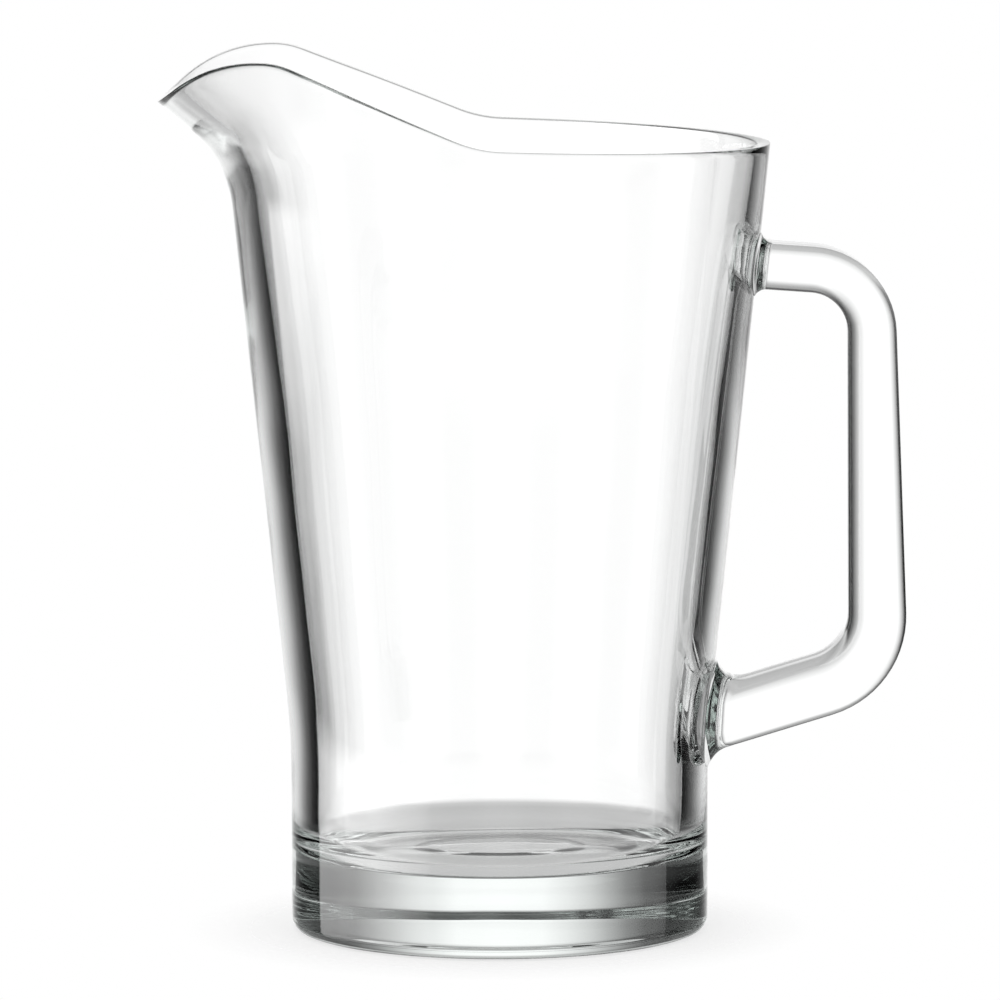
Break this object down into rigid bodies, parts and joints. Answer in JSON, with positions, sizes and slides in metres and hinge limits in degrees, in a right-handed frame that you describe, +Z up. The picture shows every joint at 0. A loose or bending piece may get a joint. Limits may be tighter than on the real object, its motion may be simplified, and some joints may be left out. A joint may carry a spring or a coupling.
{
  "type": "beer pitcher",
  "caption": "Tall clear glass pitcher with a thick solid base, a straight foot that widens into a cone, a raised pouring spout and an open bar handle stuck to the wall.",
  "frame": {"origin": "middle of the ring that the vessel stands on, on the vessel's axis", "axes": "+Z up along the vessel's axis, +X toward the handle, -X toward the spout"},
  "size_m": [0.1966, 0.1446, 0.2335],
  "materials": {
    "vessel_glass": "clear, fire polished",
    "handle_glass": "clear, fire polished"
  },
  "bodies": {
    "root": {"body": "vessel_glass", "handle": "handle_glass"}
  },
  "joints": []
}
